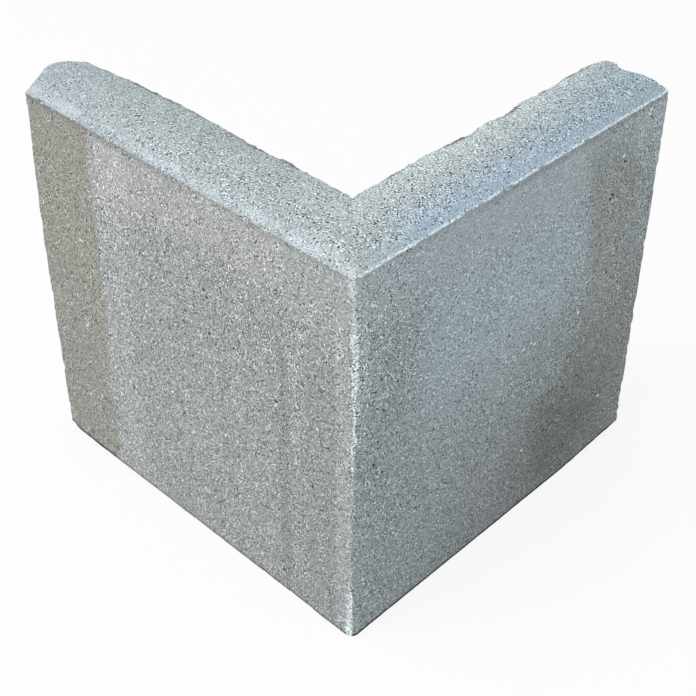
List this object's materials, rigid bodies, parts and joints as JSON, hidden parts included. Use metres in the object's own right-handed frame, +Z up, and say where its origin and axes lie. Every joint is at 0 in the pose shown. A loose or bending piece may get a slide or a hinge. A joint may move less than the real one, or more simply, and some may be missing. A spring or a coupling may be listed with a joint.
{
  "type": "concrete kerb stone",
  "caption": "Right-angled outer corner kerb stone in cast concrete, with a crowned top, a tongue on one end and a groove in the other.",
  "frame": {"origin": "on the underside, where the centre lines of the two arms cross", "axes": "+Z up, +X along the arm that ends in the groove, +Y along the arm that ends in the tongue; the outer corner points towards -X and -Y"},
  "size_m": [0.25, 0.257, 0.25],
  "materials": {
    "concrete": "matt, fine sandy grain"
  },
  "bodies": {
    "root": {"kerb_stone": "concrete"}
  },
  "joints": []
}
